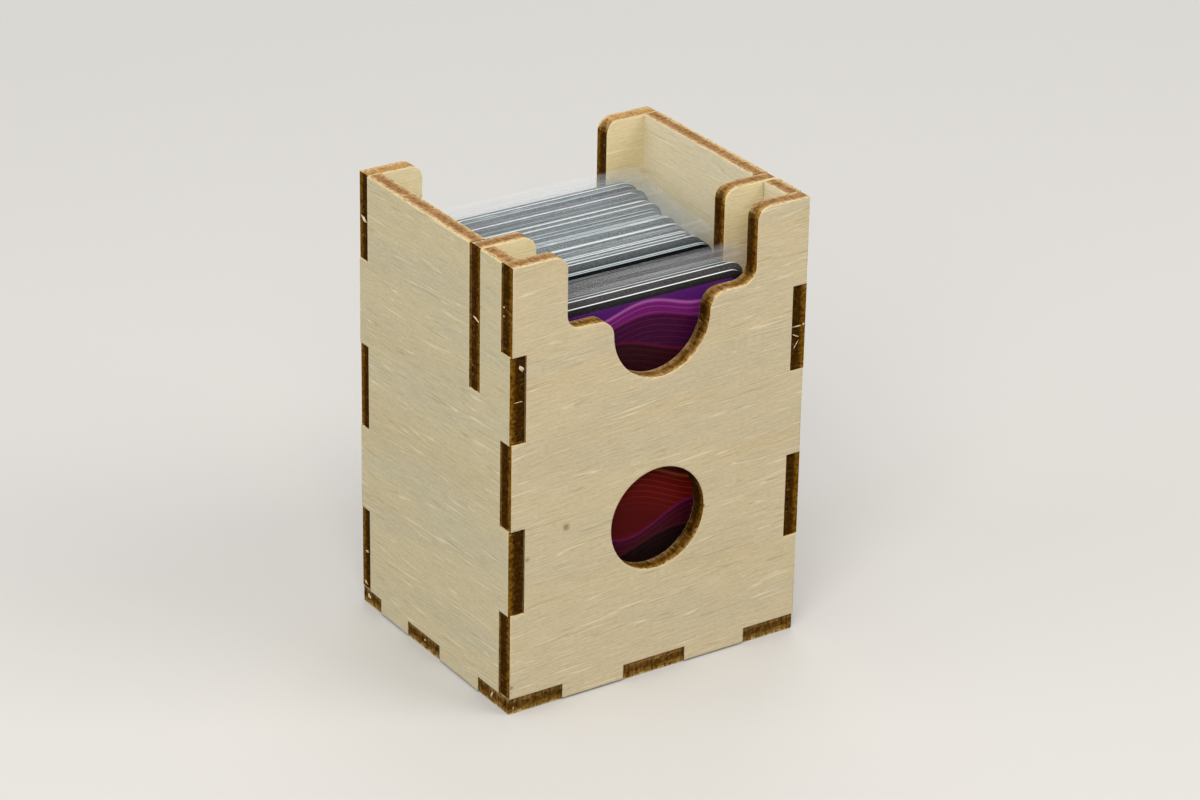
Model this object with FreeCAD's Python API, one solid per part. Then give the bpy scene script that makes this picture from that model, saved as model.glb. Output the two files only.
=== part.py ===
import FreeCAD, Part
import os

# Open-topped card box of laser-cut plywood: five finger-jointed panels, a lift-out divider and sleeved cards.
# Millimetres. +Z is up, the front faces -Y, and the origin is at the middle of the underside.

# Plywood
ply = 3.1

# Cards, and the clear sleeves that hold them, open at the top
card_width = 44.0
card_height = 68.0
card_thickness = 0.32
card_round = 2.8
card_clearance = 0.02
card_side_room = 0.3
sleeve_film = 0.1
sleeve_fold = 0.15
sleeve_seam = 0.7
sleeve_lip = 2.85

# Front compartment's depth, and each sleeve's gap to what stands before it and to the left wall
front_depth = 6.5
front_gaps = (0.2, 2.1, 0.4, 0.3)
front_side_gaps = (0.7, 2.5, 1.4, 0.9)

# Main compartment's depth, and the deck's gaps along it, which leave room for as many cards as fit
main_depth = 33.2
pack_count = 5
card_gap = 0.06
pack_gap = 0.18
deck_front_gap = 0.9
deck_rear_gap = 0.8

# Main deck across the box: the packs drift to the right towards the back, each card a little out of line
deck_left_gap = 1.8
deck_drift = 3.2
deck_scatter = 0.5
deck_right_gap = 2.3
scatter_step = 0.618

# Walls above the sleeves' tops
headroom = 8.9

# Finger joints: how far each finger's end lies below its neighbour's face, and fingers up each corner
finger_recess = 0.35
finger_count = 5

# Floor tabs along the front and back edges
cross_corner_tab = 11.05
cross_floor_tab = 12.8

# Floor tabs along the side edges, the middle one set back from halfway between the corner tabs
side_front_corner_tab = 9.75
side_back_corner_tab = 6.85
side_floor_tab = 10.7
side_floor_tab_setback = 1.7

# Top notch of the front panel, and of the back panel and divider, which is deeper and plain
wing_width = 11.0
wing_round = 2.5
notch_depth = 13.5
plain_notch_depth = 18.0
notch_fillet = 2.8

# Finger scallop and window in the front panel
scallop_radius = 9.7
scallop_shoulder = 3.1
window_radius = 9.55
window_height = 30.0

# Divider slots in the side panels, and the divider's clearances
slot_depth = 26.2
slot_clearance = 0.15
divider_side_clearance = 0.4
divider_floor_clearance = 0.4

# Cutting tools run this far past the faces that they cut
overrun = 1.0

# Sleeve and deck sizes
sleeve_width = card_width + 2 * (card_side_room + sleeve_seam)
sleeve_height = sleeve_fold + card_height + sleeve_lip
sleeve_thickness = card_thickness + 2 * (card_clearance + sleeve_film)
card_pitch = sleeve_thickness + card_gap
pack_room = (main_depth - deck_front_gap - deck_rear_gap - (pack_count - 1) * pack_gap) / pack_count
cards_per_pack = int((pack_room + card_gap) / card_pitch)
pack_depth = cards_per_pack * card_pitch - card_gap

# Room across the box, and the width of the divider's slots
inner_width = deck_left_gap + sleeve_width + deck_scatter + deck_drift + deck_right_gap
slot_width = ply + 2 * slot_clearance

# The box's outer size
box_width = inner_width + 2 * ply
box_depth = front_depth + slot_width + main_depth + 2 * ply
box_height = ply + sleeve_height + headroom

# Limits of the box and of the space inside its walls
left = -box_width / 2
right = box_width / 2
front = -box_depth / 2
back = box_depth / 2
inner_left = left + ply
inner_right = right - ply
inner_front = front + ply
inner_back = back - ply
side_ends = ((left, inner_left), (inner_right, right))
cross_ends = ((front, inner_front), (inner_back, back))

# Finger heights from the floor up: the front and back panels own the first, the side panels the second
finger_height = (box_height - ply) / finger_count
fingers = [(ply + n * finger_height, ply + (n + 1) * finger_height) for n in range(finger_count)]
cross_fingers = fingers[0::2]
side_fingers = fingers[1::2]

# Stretches of the front and back edges where the walls' tabs drop through the floor
cross_wall_tabs = (
    (left + cross_corner_tab, -cross_floor_tab / 2),
    (cross_floor_tab / 2, right - cross_corner_tab),
)

# The same stretches along the side edges
side_tabs_start = front + side_front_corner_tab
side_tabs_end = back - side_back_corner_tab
side_floor_tab_middle = (side_tabs_start + side_tabs_end) / 2 + side_floor_tab_setback
side_wall_tabs = (
    (side_tabs_start, side_floor_tab_middle - side_floor_tab / 2),
    (side_floor_tab_middle + side_floor_tab / 2, side_tabs_end),
)

# Levels and places that several pieces share
slot_floor = box_height - slot_depth
slot_front = inner_front + front_depth
slot_back = slot_front + slot_width


def block(x, y, z):
    """Solid between two limits on each axis."""
    corner = FreeCAD.Vector(x[0], y[0], z[0])
    return Part.makeBox(x[1] - x[0], y[1] - y[0], z[1] - z[0], corner)


def gaps_between(tabs, start, end):
    """Stretches from start to end that the tabs leave free."""
    edges = [start] + [edge for tab in tabs for edge in tab] + [end]
    return list(zip(edges[0::2], edges[1::2]))


def quarter_arc(start, centre, end):
    """Quarter circle from start to end about a centre."""
    middle = centre + (start + end - centre * 2) * (0.5 ** 0.5)
    return Part.Arc(start, middle, end).toShape()


def notch_edges(depth, scalloped):
    """Left half of a top notch's outline, from the top edge to the middle of its floor."""

    def at(x, z):
        """Point of the outline."""
        return FreeCAD.Vector(x, 0, z)

    wall = left + wing_width
    notch_floor = box_height - depth
    top = at(wall - wing_round, box_height)
    wall_top = at(wall, box_height - wing_round)
    wall_foot = at(wall, notch_floor + notch_fillet)
    ledge_start = at(wall + notch_fillet, notch_floor)
    edges = [
        quarter_arc(top, at(top.x, wall_top.z), wall_top),
        Part.makeLine(wall_top, wall_foot),
        quarter_arc(wall_foot, at(ledge_start.x, wall_foot.z), ledge_start),
    ]
    if not scalloped:
        return edges + [Part.makeLine(ledge_start, at(0, notch_floor))]
    scallop_level = notch_floor - scallop_shoulder
    ledge_end = at(-scallop_radius - scallop_shoulder, notch_floor)
    scallop_top = at(-scallop_radius, scallop_level)
    scallop_foot = at(0, scallop_level - scallop_radius)
    return edges + [
        Part.makeLine(ledge_start, ledge_end),
        quarter_arc(ledge_end, at(ledge_end.x, scallop_level), scallop_top),
        quarter_arc(scallop_top, at(0, scallop_level), scallop_foot),
    ]


def notch_tool(near, depth, scalloped):
    """Solid that cuts a top notch of a given depth through a panel whose near face is at a given Y."""
    half = notch_edges(depth, scalloped)
    other_half = [edge.mirror(FreeCAD.Vector(0, 0, 0), FreeCAD.Vector(1, 0, 0)) for edge in half]
    reach = -left - wing_width + wing_round
    sky = box_height + overrun
    rim = [(-reach, box_height), (-reach, sky), (reach, sky), (reach, box_height)]
    lid = Part.makePolygon([FreeCAD.Vector(x, 0, z) for x, z in rim])
    wire = Part.Wire(Part.__sortEdges__(half + other_half + lid.Edges))
    tool = Part.Face(wire).extrude(FreeCAD.Vector(0, ply + 2 * overrun, 0))
    tool.translate(FreeCAD.Vector(0, near - overrun, 0))
    return tool


def cross_wall(near):
    """Front or back wall with its corner fingers and floor tabs, its near face at a given Y."""
    deep = (near, near + ply)
    wall = block((left + finger_recess, right - finger_recess), deep, (finger_recess, box_height))
    cuts = [block(end, deep, finger) for finger in side_fingers for end in side_ends]
    cuts += [block(span, deep, (0, ply)) for span in gaps_between(cross_wall_tabs, left, right)]
    return wall.cut(cuts)


def front_panel():
    """Front wall with its notch, finger scallop and round window."""
    middle = FreeCAD.Vector(0, front - overrun, window_height)
    window = Part.makeCylinder(window_radius, ply + 2 * overrun, middle, FreeCAD.Vector(0, 1, 0))
    return cross_wall(front).cut([notch_tool(front, notch_depth, scalloped=True), window])


def back_panel():
    """Back wall with its plain notch."""
    return cross_wall(inner_back).cut(notch_tool(inner_back, plain_notch_depth, scalloped=False))


def side_panel(near):
    """Side wall with its corner fingers, floor tabs and divider slot, its near face at a given X."""
    deep = (near, near + ply)
    wall = block(deep, (front + finger_recess, back - finger_recess), (finger_recess, box_height))
    cuts = [block(deep, end, finger) for finger in cross_fingers for end in cross_ends]
    cuts += [block(deep, span, (0, ply)) for span in gaps_between(side_wall_tabs, front, back)]
    cuts.append(block(deep, (slot_front, slot_back), (slot_floor, box_height)))
    return wall.cut(cuts)


def floor_panel():
    """Floor with the gaps that the walls' tabs fill."""
    floor = block(
        (left + finger_recess, right - finger_recess),
        (front + finger_recess, back - finger_recess),
        (0, ply),
    )
    cuts = [block(tab, end, (0, ply)) for tab in cross_wall_tabs for end in cross_ends]
    cuts += [block(end, tab, (0, ply)) for tab in side_wall_tabs for end in side_ends]
    return floor.cut(cuts)


def divider():
    """Loose board whose ears hang in the side slots, notched like the back wall."""
    near = slot_front + slot_clearance
    deep = (near, near + ply)
    ears = block((left + finger_recess, right - finger_recess), deep, (slot_floor, box_height))
    body = block(
        (inner_left + divider_side_clearance, inner_right - divider_side_clearance),
        deep,
        (ply + divider_floor_clearance, slot_floor),
    )
    return ears.fuse(body).removeSplitter().cut(notch_tool(near, plain_notch_depth, scalloped=False))


def sleeve(x, y):
    """Clear sleeve standing on the floor, open at the top, its left front corner at x and y."""
    film = block((x, x + sleeve_width), (y, y + sleeve_thickness), (ply, ply + sleeve_height))
    pocket = block(
        (x + sleeve_seam, x + sleeve_width - sleeve_seam),
        (y + sleeve_film, y + sleeve_thickness - sleeve_film),
        (ply + sleeve_fold, ply + sleeve_height + overrun),
    )
    return film.cut(pocket)


def card(x, y):
    """Round-cornered card standing in the middle of the sleeve at x and y."""
    card_left = x + (sleeve_width - card_width) / 2
    card_front = y + sleeve_film + card_clearance
    card_foot = ply + sleeve_fold
    sheet = block(
        (card_left, card_left + card_width),
        (card_front, card_front + card_thickness),
        (card_foot, card_foot + card_height),
    )
    corners = [edge for edge in sheet.Edges if abs(edge.tangentAt(edge.FirstParameter).y) > 0.5]
    return sheet.makeFillet(card_round, corners)


def front_places():
    """Left front corners of the sleeves in the front compartment, from the front."""
    places = []
    y = inner_front
    for gap, side_gap in zip(front_gaps, front_side_gaps):
        y += gap
        places.append((inner_left + side_gap, y))
        y += sleeve_thickness
    return places


def pack_places(pack):
    """Left front corners of the sleeves in one pack of the main deck."""
    back_share = pack / max(pack_count - 1, 1)
    pack_left = inner_left + deck_left_gap + deck_drift * back_share ** 2
    pack_front = slot_back + deck_front_gap + pack * (pack_depth + pack_gap)
    places = []
    for n in range(cards_per_pack):
        scatter = (pack * cards_per_pack + n) * scatter_step % 1
        places.append((pack_left + deck_scatter * scatter, pack_front + n * card_pitch))
    return places


# Every piece by name
nodes = {
    "floor_panel": floor_panel(),
    "front_panel": front_panel(),
    "back_panel": back_panel(),
    "left_side_panel": side_panel(left),
    "right_side_panel": side_panel(inner_right),
    "divider": divider(),
}
for number, place in enumerate(front_places(), start=1):
    nodes[f"front_card_{number}"] = card(*place)
    nodes[f"front_sleeve_{number}"] = sleeve(*place)
for pack in range(pack_count):
    places = pack_places(pack)
    nodes[f"deck_cards_{pack + 1}"] = Part.makeCompound([card(*place) for place in places])
    nodes[f"deck_sleeves_{pack + 1}"] = Part.makeCompound([sleeve(*place) for place in places])

os.makedirs("parts", exist_ok=True)
for name, shape in nodes.items():
    shape.exportStep(f"parts/{name}.step")
    print(f"{name}: {len(shape.Solids)} solids, {shape.Volume:.1f} cubic millimetres")
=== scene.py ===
"""Looks of an open-topped card box: laser-cut plywood panels, a lift-out divider and cards in clear sleeves.

Sizes in the code are millimetres, and each finished piece is turned to metres in the shared frame.
"""

import logging
import math
from collections.abc import Iterator
from dataclasses import dataclass
from enum import Enum, IntEnum, StrEnum
from random import Random
from typing import ClassVar

import bmesh
import bpy
from mathutils import Matrix, Vector


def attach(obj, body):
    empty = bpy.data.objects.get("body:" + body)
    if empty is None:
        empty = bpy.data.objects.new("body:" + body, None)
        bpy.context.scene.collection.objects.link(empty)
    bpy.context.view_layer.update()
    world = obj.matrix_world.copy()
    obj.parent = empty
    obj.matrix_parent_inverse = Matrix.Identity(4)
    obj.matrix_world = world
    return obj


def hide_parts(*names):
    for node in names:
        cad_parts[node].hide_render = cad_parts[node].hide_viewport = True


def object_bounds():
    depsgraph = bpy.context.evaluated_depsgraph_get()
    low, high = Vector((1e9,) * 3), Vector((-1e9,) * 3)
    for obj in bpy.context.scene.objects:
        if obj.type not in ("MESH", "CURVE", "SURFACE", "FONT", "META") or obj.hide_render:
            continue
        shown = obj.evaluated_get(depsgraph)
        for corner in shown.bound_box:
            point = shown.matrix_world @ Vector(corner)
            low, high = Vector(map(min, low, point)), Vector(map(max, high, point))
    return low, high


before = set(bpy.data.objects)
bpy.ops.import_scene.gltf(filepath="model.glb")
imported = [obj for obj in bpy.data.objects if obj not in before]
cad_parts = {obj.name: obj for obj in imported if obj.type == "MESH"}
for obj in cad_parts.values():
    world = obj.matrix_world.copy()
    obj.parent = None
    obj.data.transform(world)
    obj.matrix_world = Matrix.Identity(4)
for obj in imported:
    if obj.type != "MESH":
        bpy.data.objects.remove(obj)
cad_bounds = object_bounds()

log = logging.getLogger("card_box")

Colour = tuple[float, float, float, float]
Triple = tuple[float, float, float]
Tree = bpy.types.NodeTree
Node = bpy.types.Node
Socket = bpy.types.NodeSocket
Material = bpy.types.Material
Shape = bmesh.types.BMesh
Feed = float | tuple[float, ...] | Socket | Node
Inputs = dict[int | str, Feed]

MM = 0.001
CARD_SIZE = (44.0, 68.0)
# Points this close in a CAD mesh are one point, and faces that turn less than this are one flat face.
SAME_POINT = 0.002
SAME_PLANE = math.radians(1)
SHARP_FROM = math.radians(30)
# A face whose normal has more than this along an axis looks along that axis.
FACING = 0.5


class Axis(IntEnum):
    """Axes of the shared frame."""

    X = 0
    Y = 1
    Z = 2


class Slot(Enum):
    """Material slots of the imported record."""

    PLYWOOD = "plywood"
    CARD = "printed_card"
    FILM = "clear_film"


class Channel(StrEnum):
    """Mesh attributes that carry real sizes, in millimetres, to the materials."""

    SHEET = "sheet"
    SCORCH = "scorch"
    BURN_AND_TOP_LIGHT = "burn_and_top_light"
    PRINT = "print"
    FILM = "film"


class Skin(IntEnum):
    """Material numbers of faces, counted from zero for panels, for cards and for sleeves."""

    OUTER = 0
    EDGE = 1
    SNAPPED = 2
    INNER = 3
    FACE = 0
    BACK = 1
    BOARD = 2
    FILM = 0
    LIP = 1


class Ease(StrEnum):
    """How a tint comes in."""

    EVEN = "LINEAR"
    SOFT = "SMOOTHSTEP"


class Blend(StrEnum):
    """How a tint goes on."""

    COVER = "MIX"
    DARKEN = "MULTIPLY"


@dataclass(frozen=True)
class Ramp:
    """Values of a pattern at which a tint starts and is full, and the tint's share where it is full."""

    start: float
    full: float
    share: float = 1.0
    ease: Ease = Ease.SOFT


def linear(hex_colour: str) -> Colour:
    """Turns an sRGB hex colour into the linear colour that shaders take.

    Args:
        hex_colour: Colour such as "#AE9F80".

    Returns:
        Linear red, green, blue and a full alpha.
    """
    shares = [int(hex_colour[n : n + 2], 16) / 255 for n in (1, 3, 5)]
    red, green, blue = (s / 12.92 if s <= 0.04045 else ((s + 0.055) / 1.055) ** 2.4 for s in shares)
    return red, green, blue, 1.0


def add(tree: Tree, kind: str, inputs: Inputs | None = None, operation: str = "", **settings: object) -> Node:
    """Adds a node to a tree with its settings and links.

    Args:
        tree: Node tree that takes the node.
        kind: Blender's name for the node's type, after ShaderNode.
        inputs: Socket name or number to a value, or to the output that feeds it. A node feeds its first.
        operation: What a maths node works out.
        **settings: The node's other properties.

    Returns:
        The new node.
    """
    node = tree.nodes.new(f"ShaderNode{kind}")
    if operation:
        node.operation = operation
    for name, value in settings.items():
        setattr(node, name, value)
    for key, value in (inputs or {}).items():
        source = value.outputs[0] if isinstance(value, Node) else value
        if isinstance(source, Socket):
            tree.links.new(source, node.inputs[key])
        else:
            node.inputs[key].default_value = source
    return node


def cloud(tree: Tree, place: Feed, sizes: Triple, detail: float = 2.0) -> Node:
    """Makes a soft random pattern whose grains have real sizes.

    Args:
        tree: The material's node tree.
        place: Place on the piece in millimetres.
        sizes: The grains' sizes along the three directions of that place.
        detail: How many finer patterns are in it.

    Returns:
        The pattern.
    """
    repeats = tuple(1 / size for size in sizes)
    grid = add(tree, "VectorMath", {0: place, 1: repeats}, "MULTIPLY")
    return add(tree, "TexNoise", {"Vector": grid, "Scale": 1.0, "Detail": detail})


def wash(tree: Tree, source: Feed, ramp: Ramp, under: Feed, over: Feed, blend: Blend = Blend.COVER) -> Socket:
    """Tints a colour where a pattern is strong.

    Args:
        tree: The material's node tree.
        source: The pattern.
        ramp: Where the tint comes in.
        under: The colour.
        over: The tint.
        blend: How the tint goes on.

    Returns:
        The tinted colour.
    """
    mask = add(
        tree,
        "MapRange",
        {"Value": source, "From Min": ramp.start, "From Max": ramp.full, "To Max": ramp.share},
        interpolation_type=ramp.ease,
    )
    colours = {0: mask, 6: under, 7: over}
    return add(tree, "Mix", colours, data_type="RGBA", blend_type=blend).outputs[2]


def empty_tree(owner: bpy.types.ID) -> Tree:
    """Gives a material or the surroundings an empty node tree.

    Args:
        owner: The material, or the surroundings.

    Returns:
        The tree.
    """
    owner.use_nodes = True
    owner.node_tree.nodes.clear()
    return owner.node_tree


def piece_material(name: str, channel: Channel) -> tuple[Material, Tree, Socket]:
    """Starts a material that reads its place on a piece.

    Args:
        name: The real material and how its surface was made.
        channel: Attribute that holds the place.

    Returns:
        The material, its tree and the place.
    """
    material = bpy.data.materials.new(name)
    tree = empty_tree(material)
    return material, tree, add(tree, "Attribute", attribute_name=channel).outputs["Vector"]


def coat(tree: Tree, sockets: Inputs) -> None:
    """Ends a material's tree with one shader that covers the surface."""
    shader = add(tree, "BsdfPrincipled", sockets)
    add(tree, "OutputMaterial", {"Surface": shader})


def seen_rays(tree: Tree) -> Feed:
    """Tells rays that reach the eye, straight, mirrored or through film, from those that only light the box.

    Args:
        tree: Node tree of the floor or the surroundings.

    Returns:
        One for a ray that reaches the eye, and zero for another.
    """
    seen = 0.0
    path = add(tree, "LightPath")
    for ray in ("Is Camera Ray", "Is Glossy Ray", "Is Transmission Ray"):
        seen = add(tree, "Math", {0: seen, 1: path.outputs[ray]}, "MAXIMUM")
    return seen


def past_frame(tree: Tree, place: Feed, inset: float) -> Node:
    """Measures how far a place on a card lies outside a frame drawn on it.

    Args:
        tree: The material's node tree.
        place: Place on the card in millimetres, from its lower left corner.
        inset: How far the frame lies inside the card's outline.

    Returns:
        Millimetres outside the frame, sideways and upright, and below zero inside it.
    """
    half = tuple(side / 2 for side in CARD_SIZE)
    centred = add(tree, "VectorMath", {0: place, 1: (*half, 0.0)}, "SUBTRACT")
    folded = add(tree, "VectorMath", {0: centred}, "ABSOLUTE")
    # The third value carries the card's own number, so it is put well inside.
    reach = (*(side - inset for side in half), 9.0)
    return add(tree, "VectorMath", {0: folded, 1: reach}, "SUBTRACT")


@dataclass(frozen=True)
class Mark:
    """A small dark mark in the veneer: a pin knot, or a touch of the laser."""

    place: Triple
    reach: float
    strength: float
    colour: str
    outer: float = 1.3
    inner: float = 0.5

    def ramp(self) -> Ramp:
        """Where the mark's colour comes in, as distances from its middle."""
        return Ramp(self.reach * self.outer, self.reach * self.inner, self.strength)


@dataclass(frozen=True)
class SandedVeneer:
    """Rotary-peeled basswood face veneer, sanded and left bare.

    Peeling gives pale fibres with thin bright and dark lines along them, and sanding leaves it matt.
    The lines are drawn about twice as wide as they are, so that they show in the render.
    Sizes of the patterns are given along the grain, across it and through the sheet.
    """

    name: str = "basswood_veneer_sanded"
    cream: str = "#D0C19E"
    grey: str = "#C4BBA1"
    straw: str = "#CCB78D"
    fleck: str = "#E8DDC1"
    pore: str = "#A09072"
    toast: str = "#AE8E5E"
    band: Triple = (45.0, 7.0, 0.7)
    warm_band: Triple = (85.5, 13.3, 1.33)
    fibre: Triple = (5.0, 0.22, 0.5)
    grit: Triple = (0.9, 0.3, 0.5)
    line: Triple = (34.0, 1.1, 0.5)
    line_break: Triple = (10.0, 0.7, 0.5)
    wave: Triple = (10.0, 5.0, 1.0)
    waviness: float = 0.35
    line_share: float = 0.075
    line_count: float = 3.0
    break_levels: Triple = (0.62, 0.42, 0.07)
    grey_wash: Ramp = Ramp(0.42, 0.62, 0.5)
    straw_wash: Ramp = Ramp(0.48, 0.7, 0.5)
    fibre_dark: Ramp = Ramp(0.5, 0.75, 0.28)
    fibre_light: Ramp = Ramp(0.5, 0.25, 0.28)
    grit_dark: Ramp = Ramp(0.5, 0.8, 0.15)
    grit_light: Ramp = Ramp(0.5, 0.2, 0.15)
    line_light: Ramp = Ramp(0.075, 0.0, 0.75)
    line_dark: Ramp = Ramp(0.075, 0.0, 0.42)
    scorching: Ramp = Ramp(0.45, 1.0, 0.2)
    roughness: tuple[float, float] = (0.52, 0.72)
    nap: float = 0.04
    marks: tuple[Mark, ...] = (
        Mark((-16.93, 34.23, 0.0), 1.3, 0.8, "#86652A"),
        Mark((-24.84, 30.44, 0.0), 0.9, 0.55, "#7A5A22"),
        Mark((-29.08, 6.93, 0.0), 0.8, 0.6, "#6B4A18"),
        Mark((10.95, 29.26, 0.0), 0.7, 0.85, "#4A2E0C"),
    )

    def lines(self, tree: Tree, place: Feed) -> tuple[Node, Node]:
        """Draws thin lines where a stretched pattern passes one of several levels.

        Args:
            tree: The material's node tree.
            place: Place on the sheet in millimetres.

        Returns:
            Distance in the pattern from each line's bright side and from its dark side.
        """
        stretched = cloud(tree, place, self.line, detail=1.0)
        rings = add(tree, "Math", {0: stretched, 1: self.line_count}, "MULTIPLY")
        ring = add(tree, "Math", {0: rings}, "FRACT")
        # A second pattern breaks the lines off where it is low.
        breaks = cloud(tree, place, self.line_break, detail=0.0)
        whole, broken, away = self.break_levels
        levels = {"Value": breaks, "From Min": whole, "From Max": broken, "To Max": away}
        gone = add(tree, "MapRange", levels)
        sides = []
        for level in (0.5 - self.line_share, 0.5 + self.line_share):
            off = add(tree, "Math", {0: ring, 1: level}, "SUBTRACT")
            near = add(tree, "Math", {0: off}, "ABSOLUTE")
            sides.append(add(tree, "Math", {0: near, 1: gone}, "ADD"))
        bright, dark = sides
        return bright, dark

    def material(self) -> Material:
        """Makes the veneer, which reads its place on the sheet.

        Returns:
            The material.
        """
        material, tree, sheet = piece_material(self.name, Channel.SHEET)
        scorch = add(tree, "Attribute", attribute_name=Channel.SCORCH).outputs["Fac"]
        # The fibres wander a little across the sheet.
        drift = cloud(tree, sheet, self.wave, detail=1.0).outputs["Color"]
        wander = {0: drift, 1: (0.0, self.waviness, 0.0), 2: sheet}
        place = add(tree, "VectorMath", wander, "MULTIPLY_ADD")
        fibre = cloud(tree, place, self.fibre, detail=1.0)
        grit = cloud(tree, place, self.grit, detail=0.0)
        bright, dark = self.lines(tree, place)
        washes = [
            (cloud(tree, place, self.band), self.grey_wash, self.grey),
            (cloud(tree, place, self.warm_band), self.straw_wash, self.straw),
            (fibre, self.fibre_dark, self.pore),
            (fibre, self.fibre_light, self.fleck),
            (grit, self.grit_dark, self.pore),
            (grit, self.grit_light, self.fleck),
            (bright, self.line_light, self.fleck),
            (dark, self.line_dark, self.pore),
            (scorch, self.scorching, self.toast),
        ]
        for mark in self.marks:
            # Fibres make the mark's outline ragged.
            far = add(tree, "VectorMath", {0: sheet, 1: mark.place}, "DISTANCE")
            uneven = {0: fibre, 1: mark.reach, 2: far.outputs["Value"]}
            ragged = add(tree, "Math", uneven, "MULTIPLY_ADD")
            washes.append((ragged, mark.ramp(), mark.colour))
        colour = linear(self.cream)
        for source, ramp, tint in washes:
            colour = wash(tree, source, ramp, colour, linear(tint))
        smooth, rough = self.roughness
        matt = add(tree, "MapRange", {"Value": fibre, "To Min": smooth, "To Max": rough})
        bump = add(tree, "Bump", {"Strength": 0.6, "Distance": self.nap * MM, "Height": fibre})
        sockets = {"Base Color": colour, "Normal": bump, "IOR": 1.45, "Specular IOR Level": 0.3}
        coat(tree, {**sockets, "Roughness": matt})
        return material


@dataclass(frozen=True)
class Ply:
    """Where one ply's colour comes in, as depths from the sheet's outer face, and that colour."""

    start: float
    end: float
    colour: str


@dataclass(frozen=True)
class CharredEdge:
    """Plywood edge as the laser left it: three plies, the cross-grained core darkest.

    Edges along the top are blond, or toasted from cream to tan round a brown core, rims that look up are
    burnt golden, and the rest are charred to amber round a near-black core. Edges that look up are drawn
    lighter partly for a lighter real burn and partly as painted top light. The beam leaves fine lines
    straight through the sheet, and specks and blots of soot darken them. The specks are drawn coarser than
    they are, so that they show in the render.
    """

    honey: str = "#C2A06B"
    blond: tuple[Ply, ...] = (
        Ply(1.0, 1.6, "#B8925B"),
        Ply(1.8, 2.3, "#A8834D"),
        Ply(2.6, 3.0, "#C0A272"),
    )
    cream: str = "#CBB68C"
    toasted: tuple[Ply, ...] = (
        Ply(0.3, 0.7, "#B4976A"),
        Ply(0.7, 1.1, "#956F4C"),
        Ply(2.1, 2.5, "#AC8C60"),
        Ply(2.6, 3.0, "#CBB68C"),
    )
    gilt: str = "#D8C28C"
    golden: tuple[Ply, ...] = (
        Ply(0.2, 0.5, "#9A7638"),
        Ply(0.8, 1.3, "#6E4E1E"),
        Ply(2.0, 2.5, "#967642"),
    )
    amber: str = "#825A14"
    charred: tuple[Ply, ...] = (
        Ply(0.4, 1.5, "#422806"),
        Ply(2.3, 3.1, "#503409"),
    )
    soot: str = "#1D0F01"
    speck_shade: str = "#6E5640"
    beam_line: Triple = (0.45, 0.45, 3.0)
    blot: Triple = (0.6, 0.6, 0.6)
    patch: Triple = (4.0, 4.0, 2.0)
    speck: Triple = (0.55, 0.55, 0.55)
    seam: Triple = (1.0, 1.0, 0.6)
    seam_swing: float = 1.1
    line_heat: float = 0.9
    blot_heat: float = 0.4
    patch_heat: float = 0.5
    sooting: Ramp = Ramp(0.45, 0.7, 0.75, Ease.EVEN)
    toasting: Ramp = Ramp(0.8, 1.05, ease=Ease.EVEN)
    gilding: Ramp = Ramp(1.1, 1.4, ease=Ease.EVEN)
    charring: Ramp = Ramp(1.4, 1.8, ease=Ease.EVEN)
    specking: Ramp = Ramp(0.5, 0.66, 0.5, Ease.EVEN)
    groove: float = 0.05
    roughness: float = 0.85

    def plies(self, tree: Tree, depth: Feed, outer: str, plies: tuple[Ply, ...]) -> Feed:
        """Colours the edge ply by ply.

        Args:
            tree: The material's node tree.
            depth: Depth below the outer face in millimetres.
            outer: Colour at the outer face.
            plies: The plies after it, from the outer face inwards.

        Returns:
            The colour.
        """
        colour = linear(outer)
        for ply in plies:
            colour = wash(tree, depth, Ramp(ply.start, ply.end), colour, linear(ply.colour))
        return colour

    def material(self) -> Material:
        """Makes the edge, which reads how deep in the sheet it is and how burnt; edges that look up read less
        burnt, partly as painted top light.

        Returns:
            The material.
        """
        material, tree, sheet = piece_material("plywood_edge_laser_charred", Channel.SHEET)
        burn_and_top_light = add(tree, "Attribute", attribute_name=Channel.BURN_AND_TOP_LIGHT).outputs["Fac"]
        lines = cloud(tree, sheet, self.beam_line)
        blots = cloud(tree, sheet, self.blot)
        patches = cloud(tree, sheet, self.patch)
        # A ragged line between the plies.
        depth = add(tree, "SeparateXYZ", {0: sheet}).outputs[2]
        level = add(tree, "Math", {0: depth, 1: self.seam_swing / 2}, "SUBTRACT")
        uneven = {0: cloud(tree, sheet, self.seam), 1: self.seam_swing, 2: level}
        seam = add(tree, "Math", uneven, "MULTIPLY_ADD")
        charred = self.plies(tree, seam, self.amber, self.charred)
        # Lines, blots and patches make the burn heavier and lighter along the edge.
        heat_and_top_light = burn_and_top_light
        for pattern, share in ((lines, self.line_heat), (blots, self.blot_heat), (patches, self.patch_heat)):
            heat_and_top_light = add(tree, "Math", {0: pattern, 1: share, 2: heat_and_top_light}, "MULTIPLY_ADD")
        # Less heat leaves lighter colours: edges that look up start with less, partly a lighter real burn and
        # partly painted top light.
        colour = self.plies(tree, seam, self.honey, self.blond)
        for ramp, burnt in (
            (self.toasting, self.plies(tree, seam, self.cream, self.toasted)),
            (self.gilding, self.plies(tree, seam, self.gilt, self.golden)),
            (self.charring, wash(tree, blots, self.sooting, charred, linear(self.soot))),
        ):
            colour = wash(tree, heat_and_top_light, ramp, colour, burnt)
        specks = cloud(tree, sheet, self.speck)
        colour = wash(tree, specks, self.specking, colour, linear(self.speck_shade), Blend.DARKEN)
        bump = add(tree, "Bump", {"Strength": 0.6, "Distance": self.groove * MM, "Height": lines})
        sockets = {"Base Color": colour, "Normal": bump, "IOR": 1.45, "Specular IOR Level": 0.03}
        coat(tree, {**sockets, "Roughness": self.roughness})
        return material


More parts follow.
